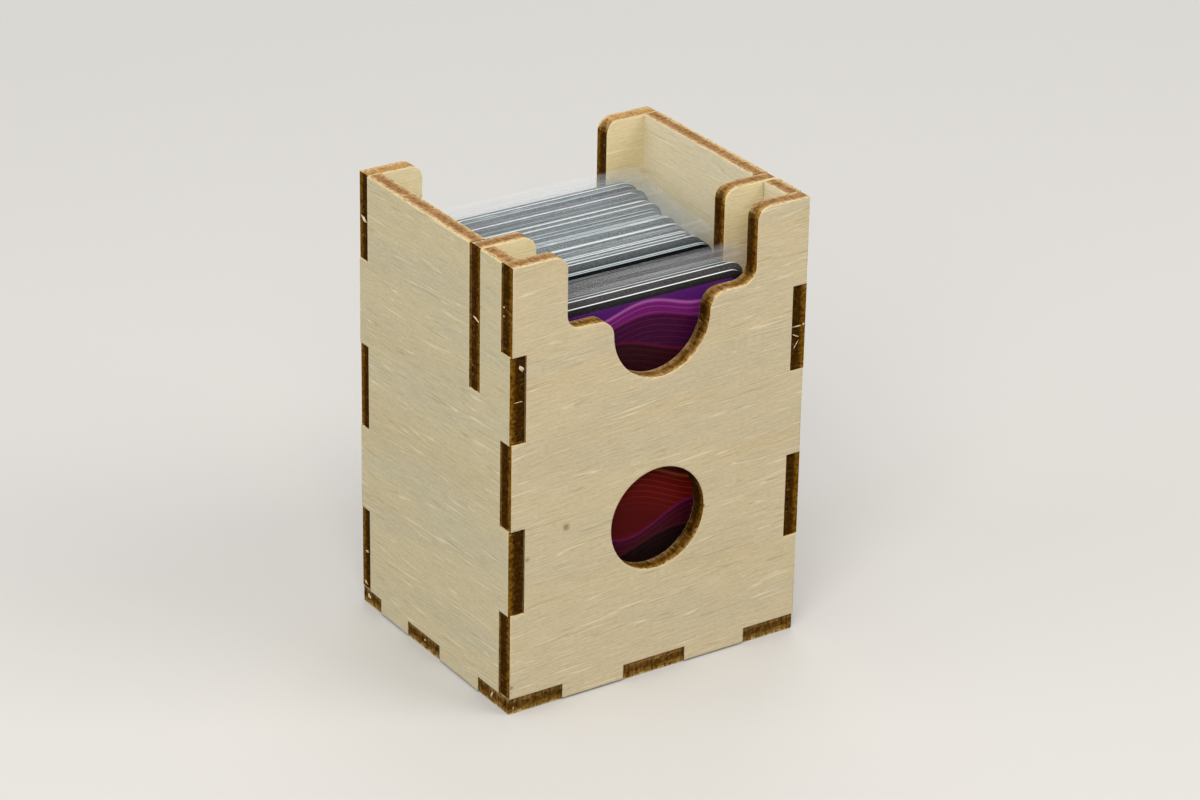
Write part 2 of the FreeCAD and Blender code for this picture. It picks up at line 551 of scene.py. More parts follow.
@dataclass(frozen=True)
class SnappedWood:
    """Bare wood where a holding tab of the cut sheet was snapped, pale and fibrous with a scorched foot."""

    fibre: str = "#D8CAA8"
    shade: str = "#6E5226"
    grain: Triple = (0.2, 0.2, 1.2)
    scorching: Ramp = Ramp(0.48, 0.7, 0.8, Ease.EVEN)
    splinter: float = 0.05

    def material(self) -> Material:
        """Makes the snapped wood.

        Returns:
            The material.
        """
        material, tree, sheet = piece_material("plywood_tab_snapped", Channel.SHEET)
        fibres = cloud(tree, sheet, self.grain)
        colour = wash(tree, fibres, self.scorching, linear(self.fibre), linear(self.shade))
        bump = add(tree, "Bump", {"Strength": 0.6, "Distance": self.splinter * MM, "Height": fibres})
        coat(tree, {"Base Color": colour, "Roughness": 0.85, "Normal": bump, "IOR": 1.45})
        return material


@dataclass(frozen=True)
class Swell:
    """One printed swell of the card's picture: everything below its crest takes its colour."""

    level: float
    swing: float
    length: float
    phase: float
    colour: str
    crest: str


@dataclass(frozen=True)
class PrintedFace:
    """Offset-printed card face under satin varnish: a dark border round rolling swells of plum and crimson.

    Varnish over ink gives deep colour with a soft sheen. Each swell darkens downwards, under fine echoes
    of its crest.
    """

    name: str = "card_face_offset_printed"
    border: float = 1.3
    inner_round: float = 2.0
    border_ink: str = "#0A0609"
    sky: str = "#4A1560"
    ink_edge: float = 0.1
    slide: float = 9.0
    crest_line: Ramp = Ramp(0.5, 0.0, 0.8)
    echo_pitch: float = 1.1
    echo_from: float = 0.75
    echo_share: float = 0.4
    shade_reach: float = 9.0
    shade_share: float = 0.5
    roughness: float = 0.34
    swells: tuple[Swell, ...] = (
        Swell(65.0, 1.2, 23.0, 0.4, "#6A1A66", "#A85AA0"),
        Swell(62.2, 1.6, 31.0, 2.1, "#3A0930", "#70205C"),
        Swell(57.5, 2.2, 37.0, 4.0, "#26070F", "#54102E"),
        Swell(41.0, 2.2, 29.0, 1.2, "#6E100C", "#A04A22"),
        Swell(33.0, 2.6, 34.0, 3.1, "#640A08", "#8C4A20"),
        Swell(24.5, 2.2, 27.0, 5.2, "#360712", "#5E0F44"),
        Swell(20.5, 1.8, 33.0, 0.9, "#0E0405", "#3A1018"),
        Swell(9.0, 1.5, 25.0, 2.8, "#2A0A26", "#522058"),
    )

    def roll(self, tree: Tree, behind: Feed, below: Feed, swell: Swell) -> Socket:
        """Prints one swell over what is behind it.

        Args:
            tree: The material's node tree.
            behind: Colour behind the swell.
            below: Distance below the swell's crest in millimetres.
            swell: The swell's colours.

        Returns:
            The colour with the swell in it.
        """
        edge = {"Value": below, "From Min": -self.ink_edge, "From Max": self.ink_edge}
        fill = add(tree, "MapRange", edge)
        sunk = add(tree, "MapRange", {"Value": below, "From Max": self.shade_reach})
        shade = Ramp(0.0, self.shade_reach, self.shade_share, Ease.EVEN)
        ink = wash(tree, below, shade, linear(swell.colour), linear(self.border_ink))
        # Echoes of the crest fade with the distance below it.
        turn = add(tree, "Math", {0: below, 1: 2 * math.pi / self.echo_pitch}, "MULTIPLY")
        beat = add(tree, "Math", {0: turn}, "COSINE")
        levels = {"Value": beat, "From Min": self.echo_from, "To Max": self.echo_share}
        echo = add(tree, "MapRange", levels)
        left = add(tree, "Math", {0: fill, 1: sunk}, "SUBTRACT")
        faint = add(tree, "Math", {0: echo, 1: left}, "MULTIPLY", use_clamp=True)
        crest = linear(swell.crest)
        filled = add(tree, "Mix", {0: fill, 6: behind, 7: ink}, data_type="RGBA").outputs[2]
        echoed = add(tree, "Mix", {0: faint, 6: filled, 7: crest}, data_type="RGBA").outputs[2]
        apart = add(tree, "Math", {0: below}, "ABSOLUTE")
        return wash(tree, apart, self.crest_line, echoed, crest)

    def material(self) -> Material:
        """Makes the face, which reads its place on the card.

        Returns:
            The material.
        """
        material, tree, place = piece_material(self.name, Channel.PRINT)
        across, up, own = add(tree, "SeparateXYZ", {0: place}).outputs
        colour = linear(self.sky)
        for swell in self.swells:
            # Each card's own number slides the swells along, so that no two cards match.
            start = add(tree, "Math", {0: own, 1: self.slide, 2: swell.phase}, "MULTIPLY_ADD")
            run = {0: across, 1: 2 * math.pi / swell.length, 2: start}
            angle = add(tree, "Math", run, "MULTIPLY_ADD")
            wave = add(tree, "Math", {0: angle}, "SINE")
            height = {0: wave, 1: swell.swing, 2: swell.level}
            crest = add(tree, "Math", height, "MULTIPLY_ADD")
            below = add(tree, "Math", {0: crest, 1: up}, "SUBTRACT")
            colour = self.roll(tree, colour, below, swell)
        # The picture's frame has round corners.
        past = past_frame(tree, place, self.border + self.inner_round)
        outside = add(tree, "VectorMath", {0: past, 1: (0.0, 0.0, 0.0)}, "MAXIMUM")
        reach = add(tree, "VectorMath", {0: outside}, "LENGTH").outputs["Value"]
        rim = Ramp(self.inner_round - self.ink_edge, self.inner_round + self.ink_edge, ease=Ease.EVEN)
        colour = wash(tree, reach, rim, colour, linear(self.border_ink))
        sockets = {"Base Color": colour, "Roughness": self.roughness, "IOR": 1.5, "Specular IOR Level": 0.04}
        coat(tree, sockets)
        return material


@dataclass(frozen=True)
class PrintedBack:
    """Offset-printed card back under satin varnish: plain nested frames in two violets."""

    frame_pitch: float = 3.0
    frame_line: Ramp = Ramp(0.3, 0.0, ease=Ease.EVEN)
    dark: str = "#120A1C"
    violet: str = "#34184F"
    roughness: float = 0.34

    def material(self) -> Material:
        """Makes the back, which reads its place on the card.

        Returns:
            The material.
        """
        material, tree, place = piece_material("card_back_offset_printed", Channel.PRINT)
        aside, above, _ = add(tree, "SeparateXYZ", {0: past_frame(tree, place, 0.0)}).outputs
        nearer = add(tree, "Math", {0: aside, 1: above}, "MAXIMUM")
        turn = add(tree, "Math", {0: nearer, 1: 2 * math.pi / self.frame_pitch}, "MULTIPLY")
        wave = add(tree, "Math", {0: turn}, "COSINE")
        colour = wash(tree, wave, self.frame_line, linear(self.dark), linear(self.violet))
        sockets = {"Base Color": colour, "Roughness": self.roughness, "IOR": 1.5, "Specular IOR Level": 0.12}
        coat(tree, sockets)
        return material


@dataclass(frozen=True)
class CutBoard:
    """Die-cut edge of white card board: bare matt paper, some greyed by handling or tinged by the inks.

    A tinge starts where a card's own number, from 0 to 1, passes its level.
    """

    white: str = "#F0F4F4"
    tinges: tuple[tuple[float, str], ...] = (
        (0.36, "#B0BCC0"),
        (0.62, "#66727A"),
        (0.78, "#14161C"),
        (0.91, "#5E4272"),
    )
    fibre: Triple = (6.0, 0.3, 1.0)
    wear: float = 0.1
    tinge_edge: float = 0.01

    def material(self) -> Material:
        """Makes the paper edge, which reads its card's own number.

        Returns:
            The material.
        """
        material, tree, place = piece_material("card_edge_die_cut", Channel.PRINT)
        own = add(tree, "SeparateXYZ", {0: place}).outputs[2]
        uneven = {0: cloud(tree, place, self.fibre), 1: self.wear, 2: own}
        worn = add(tree, "Math", uneven, "MULTIPLY_ADD")
        colour = linear(self.white)
        for level, tinge in self.tinges:
            middle = level + self.wear / 2
            ramp = Ramp(middle - self.tinge_edge, middle + self.tinge_edge, ease=Ease.EVEN)
            colour = wash(tree, worn, ramp, colour, linear(tinge))
        coat(tree, {"Base Color": colour, "Roughness": 0.8, "IOR": 1.45, "Specular IOR Level": 0.2})
        return material


@dataclass(frozen=True)
class ClearFilm:
    """Cast polypropylene film, clear and glossy, hazed by handling along the lip and milky at the welds."""

    name: str = "polypropylene_film_cast"
    tint: str = "#C9D4DA"
    haze: float = 0.0012
    lip_haze: float = 0.014
    weld_haze: float = 0.013
    lip_start: float = 67.5
    lip_end: float = 70.0
    width: float = 46.0
    weld: float = 0.7
    weld_edge: float = 0.1
    scuff: Triple = (30.0, 1.2, 0.1)
    scuffing: tuple[float, float] = (0.7, 1.3)
    roughness: float = 0.16

    def material(self) -> Material:
        """Makes the film, which reads its place on the sleeve.

        Returns:
            The material.
        """
        material, tree, place = piece_material(self.name, Channel.FILM)
        across, up, _ = add(tree, "SeparateXYZ", {0: place}).outputs
        hazed = {"Value": up, "From Min": self.lip_start, "From Max": self.lip_end, "To Max": self.lip_haze}
        lip = add(tree, "MapRange", hazed, interpolation_type=Ease.SOFT)
        least, most = self.scuffing
        rubbed = {"Value": cloud(tree, place, self.scuff), "From Min": 0.3, "From Max": 0.7}
        scuffed = add(tree, "MapRange", {**rubbed, "To Min": least, "To Max": most})
        worn = add(tree, "Math", {0: lip, 1: scuffed, 2: self.haze}, "MULTIPLY_ADD")
        centred = add(tree, "Math", {0: across, 1: self.width / 2}, "SUBTRACT")
        aside = add(tree, "Math", {0: centred}, "ABSOLUTE")
        seam = self.width / 2 - self.weld
        strip = {"Value": aside, "From Min": seam - self.weld_edge, "From Max": seam + self.weld_edge}
        weld = add(tree, "MapRange", {**strip, "To Max": self.weld_haze})
        alpha = add(tree, "Math", {0: worn, 1: weld}, "ADD")
        sockets = {"Base Color": linear(self.tint), "Roughness": self.roughness, "IOR": 1.49, "Alpha": alpha}
        coat(tree, sockets)
        return material


@dataclass(frozen=True)
class ShearedFilm:
    """Sheared edge of the film, where light that runs inside the sheet comes out as a bright line."""

    name: str = "polypropylene_film_sheared"
    tint: str = "#DCE6EE"
    alpha: float = 0.24
    swing: float = 0.6
    nick: Triple = (24.0, 9.0, 0.1)

    def material(self) -> Material:
        """Makes the sheared edge, a little brighter and fainter along its run.

        Returns:
            The material.
        """
        material, tree, place = piece_material(self.name, Channel.FILM)
        nicks = {"Value": cloud(tree, place, self.nick), "From Min": 0.3, "From Max": 0.7}
        faint, bright = self.alpha * (1 - self.swing), self.alpha * (1 + self.swing)
        alpha = add(tree, "MapRange", {**nicks, "To Min": faint, "To Max": bright})
        coat(tree, {"Base Color": linear(self.tint), "Roughness": 0.3, "IOR": 1.49, "Alpha": alpha})
        return material


@dataclass(frozen=True)
class StudioPaper:
    """Seamless studio paper, matt and pale, with a dimmer bounce so that the lamps shape the box.

    Far from the box the paper runs up into the pale surroundings without a line.
    """

    tone: str = "#C6C5C3"
    bounce: str = "#4A433B"
    backdrop: str = "#DAD9D6"
    tooth: float = 2.0
    relief: float = 0.1
    fade: tuple[float, float] = (0.3, 0.9)

    def material(self) -> Material:
        """Makes the paper with a trace of tooth.

        Returns:
            The material.
        """
        material = bpy.data.materials.new("paper_seamless_matt")
        tree = empty_tree(material)
        place = add(tree, "TexCoord").outputs["Object"]
        fibres = add(tree, "TexNoise", {"Vector": place, "Scale": 1 / (self.tooth * MM), "Detail": 2.0})
        bump = add(tree, "Bump", {"Strength": 0.05, "Distance": self.relief * MM, "Height": fibres})
        seen = seen_rays(tree)
        tones = {0: seen, 6: linear(self.bounce), 7: linear(self.tone)}
        colour = add(tree, "Mix", tones, data_type="RGBA").outputs[2]
        sockets = {"Base Color": colour, "Roughness": 0.9, "Normal": bump, "Specular IOR Level": 0.2}
        paper = add(tree, "BsdfPrincipled", sockets)
        away = add(tree, "VectorMath", {0: place}, "LENGTH").outputs["Value"]
        near, far = self.fade
        reach = {"Value": away, "From Min": near, "From Max": far}
        faded = add(tree, "MapRange", reach, interpolation_type=Ease.SOFT)
        share = add(tree, "Math", {0: faded, 1: seen}, "MULTIPLY")
        pale = add(tree, "Emission", {"Color": linear(self.backdrop)})
        surface = add(tree, "MixShader", {0: share, 1: paper, 2: pale})
        add(tree, "OutputMaterial", {"Surface": surface})
        return material


class Finish(Enum):
    """The box's finishes, with a warm and a cool veneer outside, and a pale and a yellow one inside, both
    lighter than outside as painted light for the brighter inside of the box.

    The singles are handled most: their film is hazier along the lip, and the lips stand apart in the light.
    The deck's cards are printed darker than the singles in front.
    """

    OUTER = SandedVeneer()
    COOL = SandedVeneer(
        name="basswood_veneer_cool_sanded",
        cream="#CCC29F",
        grey="#C0BCA3",
        straw="#C7B890",
        marks=(),
    )
    # Inside of the floor and side panels: a lighter copy of the veneer, its lightness painted light for the
    # brighter inside of the box.
    PALE_LIT_INSIDE = SandedVeneer(
        name="basswood_veneer_pale_sanded_lit_inside",
        cream="#D4CAAC",
        grey="#CFC8AE",
        straw="#D2C49E",
        fleck="#E2D9BF",
        pore="#A69877",
        marks=(),
    )
    # Inside of the front, back and divider: a lighter, yellower copy of the veneer, its lightness painted
    # light for the brighter inside of the box.
    YELLOW_LIT_INSIDE = SandedVeneer(
        name="basswood_veneer_yellow_sanded_lit_inside",
        cream="#D4C69E",
        grey="#CFC4A2",
        straw="#D2C092",
        fleck="#E6D8B6",
        pore="#AE996F",
        marks=(),
    )
    EDGE = CharredEdge()
    SNAPPED = SnappedWood()
    FACE = PrintedFace()
    NIGHT_FACE = PrintedFace(
        name="card_face_night_offset_printed",
        sky="#0E090E",
        swells=(
            Swell(58.0, 1.8, 31.0, 1.7, "#1C0A26", "#3E1E50"),
            Swell(44.0, 2.4, 26.0, 3.3, "#120712", "#33122E"),
            Swell(30.0, 2.0, 35.0, 0.6, "#240A1A", "#4E1636"),
            Swell(14.0, 1.6, 28.0, 4.4, "#0E0609", "#2C1018"),
        ),
    )
    BACK = PrintedBack()
    BOARD = CutBoard()
    FILM = ClearFilm()
    HAZED_FILM = ClearFilm(
        name="polypropylene_film_cast_hazed",
        tint="#CBCCD0",
        lip_haze=0.034,
        lip_start=65.5,
    )
    LIP = ShearedFilm()
    BRIGHT_LIP = ShearedFilm(name="polypropylene_film_sheared_bright", alpha=0.35)


Materials = dict[Finish, Material]


def islands(shape: Shape) -> Iterator[list[bmesh.types.BMVert]]:
    """Separate solids of a shape, from the front of the box to the back.

    Args:
        shape: Shape whose solids don't touch.

    Yields:
        Each solid's vertices.
    """
    found = []
    left = set(shape.verts)
    while left:
        edge = [min(left, key=lambda vertex: vertex.index)]
        solid = []
        left.discard(edge[0])
        while edge:
            vertex = edge.pop()
            solid.append(vertex)
            for link in vertex.link_edges:
                other = link.other_vert(vertex)
                if other in left:
                    left.discard(other)
                    edge.append(other)
        found.append(solid)
    yield from sorted(found, key=lambda solid: min(vertex.co.y for vertex in solid))


def corners(solid: list[bmesh.types.BMVert]) -> tuple[Vector, Vector]:
    """Lowest and highest corner of a solid's box."""
    low, high = (Vector([pick(vertex.co[n] for vertex in solid) for n in range(3)]) for pick in (min, max))
    return low, high


@dataclass
class Piece:
    """A piece that stands for one CAD node and rides on its body."""

    node: str
    body: str
    slot: ClassVar[Slot]

    def build(self) -> Shape:
        """Makes the piece's shape in millimetres, with material numbers and attributes."""
        raise NotImplementedError

    def shape(self) -> Shape:
        """Copies the CAD node's shape in millimetres, welded and with its flat faces whole.

        Returns:
            The shape in millimetres.
        """
        shape = bmesh.new()
        shape.from_mesh(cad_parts[self.node].data)
        bmesh.ops.scale(shape, vec=(1 / MM,) * 3, verts=shape.verts)
        bmesh.ops.remove_doubles(shape, verts=shape.verts, dist=SAME_POINT)
        bmesh.ops.dissolve_limit(shape, angle_limit=SAME_PLANE, verts=shape.verts, edges=shape.edges)
        shape.normal_update()
        shape.verts.index_update()
        return shape

    def finishes(self) -> tuple[Finish, ...]:
        """Finishes in the order of the faces' material numbers."""
        raise NotImplementedError

    def dress(self, shape: Shape, materials: Materials) -> None:
        """Turns a shape into an object in the shared frame, riding on its body in place of its CAD node.

        Args:
            shape: Shape in millimetres, which is used up.
            materials: Material of each finish.
        """
        bmesh.ops.scale(shape, vec=(MM,) * 3, verts=shape.verts)
        mesh = bpy.data.meshes.new(f"{self.node}_mesh")
        shape.to_mesh(mesh)
        shape.free()
        if "custom_normal" in mesh.attributes:
            mesh.attributes.remove(mesh.attributes["custom_normal"])
        mesh.shade_smooth()
        mesh.set_sharp_from_angle(angle=SHARP_FROM)
        for finish in self.finishes():
            mesh.materials.append(materials[finish])
        piece = bpy.data.objects.new(f"{self.node}_dressed", mesh)
        bpy.context.scene.collection.objects.link(piece)
        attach(piece, self.body)
        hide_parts(self.node)
        log.info("%s: %d faces on %s", piece.name, len(mesh.polygons), self.body)


@dataclass(frozen=True)
class SnapMark:
    """Splintered stub of a holding tab: a ragged low mound, its size given across the edge and along it."""

    place: Triple
    facing: Triple
    across: float
    along: float
    lean: float = 0.0
    proud: float = 0.12


LEFT, RIGHT = (-1.0, 0.0, 0.0), (1.0, 0.0, 0.0)
FRONT, BACK = (0.0, -1.0, 0.0), (0.0, 1.0, 0.0)
SNAPS = {
    "floor_panel": (
        SnapMark((-29.65, 3.2, 1.7), LEFT, 0.5, 0.6),
        SnapMark((-29.65, -18.9, 1.4), LEFT, 2.0, 0.8, lean=0.3),
        SnapMark((-28.7, -24.3, 1.1), FRONT, 0.7, 0.4),
        SnapMark((-29.65, 22.5, 1.6), LEFT, 1.3, 1.5),
    ),
    "front_panel": (
        SnapMark((-29.65, -21.95, 75.2), LEFT, 0.6, 0.5, proud=0.2),
        SnapMark((-29.65, -21.9, 73.6), LEFT, 0.4, 0.6),
        SnapMark((29.65, -24.1, 75.1), RIGHT, 0.9, 1.0, proud=0.3),
        SnapMark((29.65, -23.1, 10.0), RIGHT, 1.2, 0.5),
    ),
    "back_panel": (
        SnapMark((-29.65, 23.2, 74.5), LEFT, 2.7, 1.2, lean=0.5, proud=0.2),
        SnapMark((-29.65, 23.2, 10.4), LEFT, 1.5, 0.8),
        SnapMark((-29.65, 23.6, 4.0), LEFT, 1.6, 0.8, lean=0.4),
        SnapMark((29.65, 23.1, 74.5), RIGHT, 1.6, 0.8),
    ),
    "left_side_panel": (
        SnapMark((-28.2, -24.3, 58.7), FRONT, 2.8, 0.3, proud=0.08),
        SnapMark((-27.7, -24.3, 64.7), FRONT, 0.9, 2.0, lean=-0.6, proud=0.2),
        SnapMark((-28.45, 24.3, 58.7), BACK, 1.8, 0.6),
    ),
    "right_side_panel": (
        SnapMark((28.2, -24.3, 59.2), FRONT, 3.0, 0.4),
        SnapMark((29.6, -24.3, 59.3), FRONT, 0.7, 0.7, proud=0.15),
        SnapMark((27.95, -24.3, 57.5), FRONT, 2.5, 0.3, lean=0.47, proud=0.1),
        SnapMark((28.15, -24.3, 55.8), FRONT, 3.3, 0.3, lean=-1.01, proud=0.1),
        SnapMark((28.45, 24.3, 59.2), BACK, 1.8, 0.6),
    ),
    "divider": (
        SnapMark((-29.65, -13.35, 69.8), LEFT, 2.9, 0.6, lean=0.3),
        SnapMark((29.65, -13.3, 69.8), RIGHT, 1.6, 0.5),
    ),
}


@dataclass
class PlyPanel(Piece):
    """A laser-cut plywood panel with veneer faces, charred edges and the stubs of its holding tabs."""

    sheet_place: tuple[float, float]
    across_sheet: Axis = Axis.Y
    grain: Axis = Axis.X
    outer: int = -1
    tilt: float = 0.0
    sides: tuple[Finish, Finish] = (Finish.OUTER, Finish.PALE_LIT_INSIDE)
    slot: ClassVar[Slot] = Slot.PLYWOOD
    halo: float = 0.4
    edge_round: float = 0.07
    top: float = 80.4
    # Shares of the burn taken off edges that look up, which lightens them: partly a lighter real burn, partly
    # painted top light.
    top_relief_and_light: float = 0.78
    waist: float = 45.0
    rim_relief_and_light: float = 0.6
    window_relief_and_light: float = 0.36
    char: float = 1.0
    splinters: int = 9
    splinter_reach: tuple[float, float] = (0.5, 1.0)
    splinter_sunk: float = 0.015

    def build(self) -> Shape:
        """Makes the panel with scorched margins, rounded edges and snap marks.

        Returns:
            The shape in millimetres.
        """
        shape = self.shape()
        depth = self.across_sheet
        for face in shape.faces:
            flat = abs(face.normal[depth]) > FACING
            face.material_index = Skin.OUTER if flat else Skin.EDGE
        veneer = [face for face in shape.faces if face.material_index == Skin.OUTER]
        margin = {"thickness": self.halo, "use_even_offset": True, "use_boundary": True}
        bmesh.ops.inset_region(shape, faces=veneer, **margin)
        arrises = []
        for edge in shape.edges:
            if len({face.material_index for face in edge.link_faces}) == 2:
                arrises.append(edge)
        bmesh.ops.bevel(
            shape,
            geom=arrises,
            offset=self.edge_round,
            segments=2,
            profile=0.5,
            affect="EDGES",
            material=Skin.OUTER,
            clamp_overlap=True,
        )
        low = min(vertex.co[depth] for vertex in shape.verts)
        high = max(vertex.co[depth] for vertex in shape.verts)
        chance = Random(self.node)
        for snap in SNAPS[self.node]:
            self.add_snap(shape, snap, chance)
        shape.normal_update()
        for face in shape.faces:
            if face.material_index == Skin.OUTER and face.normal[depth] * self.outer < 0:
                face.material_index = Skin.INNER
        self.measure(shape, low, high)
        return shape

    def add_snap(self, shape: Shape, snap: SnapMark, chance: Random) -> None:
        """Adds one ragged mound to the panel's edge.

        Args:
            shape: The panel's shape.
            snap: Where the mark is, and its size.
            chance: Source of the ragged line.
        """
        facing = Vector(snap.facing)
        through = Vector([float(n == self.across_sheet) for n in range(3)])
        run = through.cross(facing)
        through, run = (
            through * math.cos(snap.lean) + run * math.sin(snap.lean),
            run * math.cos(snap.lean) - through * math.sin(snap.lean),
        )
        middle = Vector(snap.place)
        rim = []
        for n in range(self.splinters):
            turn = 2 * math.pi * n / self.splinters
            reach = chance.uniform(*self.splinter_reach)
            aside = through * snap.across * math.cos(turn) + run * snap.along * math.sin(turn)
            rim.append(shape.verts.new(middle + aside * reach / 2 - facing * self.splinter_sunk))
        peak = shape.verts.new(middle + facing * snap.proud)
        faces = [shape.faces.new(rim[::-1])]
        for n in range(self.splinters):
            faces.append(shape.faces.new((rim[n], rim[(n + 1) % self.splinters], peak)))
        for face in faces:
            face.material_index = Skin.SNAPPED
        bmesh.ops.recalc_face_normals(shape, faces=faces)

    def relief(self, height: float) -> float:
        """Tells how much less an edge that looks up is burnt at a height, partly a lighter real burn and
        partly painted top light.

        Args:
            height: Height above the ground.

        Returns:
            The part of the burn that is missing, partly painted top light, most along the top and least in
            the window.
        """
        if height > self.top:
            return self.top_relief_and_light
        return self.rim_relief_and_light if height > self.waist else self.window_relief_and_light

    def measure(self, shape: Shape, low: float, high: float) -> None:
        """Writes each point's place on the sheet and each face's burn, which is lower on faces that look up,
        partly as painted top light.

        Args:
            shape: The panel's shape.
            low: Sheet's near face along its thickness.
            high: Sheet's far face.
        """
        depth, along = self.across_sheet, self.grain
        across = 3 - depth - along
        sheet = shape.verts.layers.float_vector.new(Channel.SHEET)
        scorch = shape.verts.layers.float.new(Channel.SCORCH)
        burn_and_top_light = shape.faces.layers.float.new(Channel.BURN_AND_TOP_LIGHT)
        turn = Matrix.Rotation(-self.tilt, 2)
        for vertex in shape.verts:
            flat = turn @ Vector((vertex.co[along], vertex.co[across])) + Vector(self.sheet_place)
            vertex[sheet] = (*flat, vertex.co[depth] - low if self.outer < 0 else high - vertex.co[depth])
            vertex[scorch] = float(any(face.material_index == Skin.EDGE for face in vertex.link_faces))
        for face in shape.faces:
            relief = self.relief(face.calc_center_median().z)
            # Faces that look up get less burn and so a lighter edge colour, partly painted top light.
            face[burn_and_top_light] = self.char - relief * max(face.normal.z, 0.0)

    def finishes(self) -> tuple[Finish, ...]:
        """Veneer, edge and snapped wood."""
        outer, inner = self.sides
        return outer, Finish.EDGE, Finish.SNAPPED, inner


@dataclass
class Cards(Piece):
    """Printed cards of one CAD node, each risen a little in its sleeve."""

    rise: float = 0.0
    number: float | None = None
    slot: ClassVar[Slot] = Slot.CARD

    def build(self) -> Shape:
        """Makes the cards with printed faces and paper edges.

        Returns:
            The shape in millimetres.
        """
        shape = self.shape()
        own = shape.verts.layers.float_vector.new(Channel.PRINT)
        for face in shape.faces:
            if abs(face.normal.y) < FACING:
                face.material_index = Skin.BOARD
            else:
                face.material_index = Skin.FACE if face.normal.y < 0 else Skin.BACK
        chance = Random(self.node)
        for solid in islands(shape):
            number = chance.random() if self.number is None else self.number
            low, _ = corners(solid)
            lift = self.rise * chance.random()
            for vertex in solid:
                vertex[own] = Vector((vertex.co.x - low.x, vertex.co.z - low.z, number))
                vertex.co.z += lift
        return shape

    def finishes(self) -> tuple[Finish, ...]:
        """Print and paper."""
        face = Finish.NIGHT_FACE if self.number is None else Finish.FACE
        return face, Finish.BACK, Finish.BOARD


@dataclass
class Sleeves(Piece):
    """Clear sleeves of one CAD node: film pockets with flat welded sides, their lips not quite level."""

    bright: bool = False
    trim: float = 0.2
    film: float = 0.1
    weld: float = 0.7
    fold: float = 0.15
    weld_half: float = 0.1
    slot: ClassVar[Slot] = Slot.FILM

    def build(self) -> Shape:
        """Makes each sleeve where the CAD node has one.

        Returns:
            The shape in millimetres.
        """
        solids = self.shape()
        shape = bmesh.new()
        own = shape.verts.layers.float_vector.new(Channel.FILM)
        chance = Random(self.node)
        for solid in islands(solids):
            low, high = corners(solid)
            number = chance.random()
            high.z -= self.trim * chance.random() ** 2
            for vertex in self.pocket(shape, low, high):
                vertex[own] = Vector((vertex.co.x - low.x, vertex.co.z - low.z, number))
        solids.free()
        return shape

    def pocket(self, shape: Shape, low: Vector, high: Vector) -> list[bmesh.types.BMVert]:
        """Adds one sleeve.

        Args:
            shape: Shape that takes the sleeve.
            low: The sleeve's lowest corner.
            high: The sleeve's highest corner.

        Returns:
            The sleeve's vertices.
        """
        middle = (low.y + high.y) / 2
        front, back = middle - self.weld_half, middle + self.weld_half
        near, far = low.x + self.weld, high.x - self.weld
        outer = [(low.x, front), (near, low.y), (far, low.y), (high.x, front)]
        outer += [(high.x, back), (far, high.y), (near, high.y), (low.x, back)]
        foremost, rearmost = low.y + self.film, high.y - self.film
        inner = [(near, foremost), (far, foremost), (far, rearmost), (near, rearmost)]
        rings = []
        for loop, foot in ((outer, low.z), (inner, low.z + self.fold)):
            rings += [[shape.verts.new((x, y, z)) for x, y in loop] for z in (foot, high.z)]
        under, lip, seat, mouth = rings
        walls = [under[::-1], seat]
        for n in range(8):
            walls.append([under[n], under[(n + 1) % 8], lip[(n + 1) % 8], lip[n]])
        for n in range(4):
            walls.append([seat[(n + 1) % 4], seat[n], mouth[n], mouth[(n + 1) % 4]])
        walls.append([lip[7], lip[0], lip[1], mouth[0], mouth[3], lip[6]])
        walls.append([lip[2], lip[3], lip[4], lip[5], mouth[2], mouth[1]])
        for wall in walls:
            shape.faces.new(wall).material_index = Skin.FILM
        for cut in ((lip[1], lip[2], mouth[1], mouth[0]), (lip[5], lip[6], mouth[3], mouth[2])):
            shape.faces.new(cut).material_index = Skin.LIP
        return [vertex for ring in rings for vertex in ring]

    def finishes(self) -> tuple[Finish, ...]:
        """Film and its sheared lips."""
        return (Finish.HAZED_FILM, Finish.BRIGHT_LIP) if self.bright else (Finish.FILM, Finish.LIP)


class Assembly:
    """Pieces that are built and dressed one after the other."""

    def pieces(self) -> list[Piece]:
        """Lists the pieces."""
        raise NotImplementedError

    def make(self, materials: Materials) -> None:
        """Builds and dresses every piece."""
        for piece in self.pieces():
            piece.dress(piece.build(), materials)


@dataclass
class CardBox(Assembly):
    """The glued box of five panels."""

    body: str = "box"
    slant: float = math.radians(3)

    def pieces(self) -> list[Piece]:
        """Lists the panels with their places on the sheet.

        Returns:
            The panels.
        """
        # Front and back take the lighter inside veneer, painted light for the brighter inside of the box.
        yellow_lit_inside = (Finish.OUTER, Finish.YELLOW_LIT_INSIDE)
        cool = (Finish.COOL, Finish.PALE_LIT_INSIDE)
        floor = PlyPanel("floor_panel", self.body, (300.0, 0.0), Axis.Z, char=0.66)
        front = PlyPanel("front_panel", self.body, (0.0, 0.0), tilt=self.slant, sides=yellow_lit_inside)
        back = PlyPanel("back_panel", self.body, (90.0, 110.0), outer=1, top_relief_and_light=1.05, sides=yellow_lit_inside)
        lean = -self.slant
        left = PlyPanel("left_side_panel", self.body, (160.0, 220.0), Axis.X, Axis.Y, tilt=lean, sides=cool)
        right = PlyPanel("right_side_panel", self.body, (230.0, 330.0), Axis.X, Axis.Y, outer=1)
        return [floor, front, back, left, right]


@dataclass
class Divider(Assembly):
    """The loose board that lifts out of the side slots."""

    body: str = "divider"

    def pieces(self) -> list[Piece]:
        """Lists the board."""
        return [PlyPanel("divider", self.body, (40.0, 440.0), sides=(Finish.YELLOW_LIT_INSIDE, Finish.YELLOW_LIT_INSIDE))]


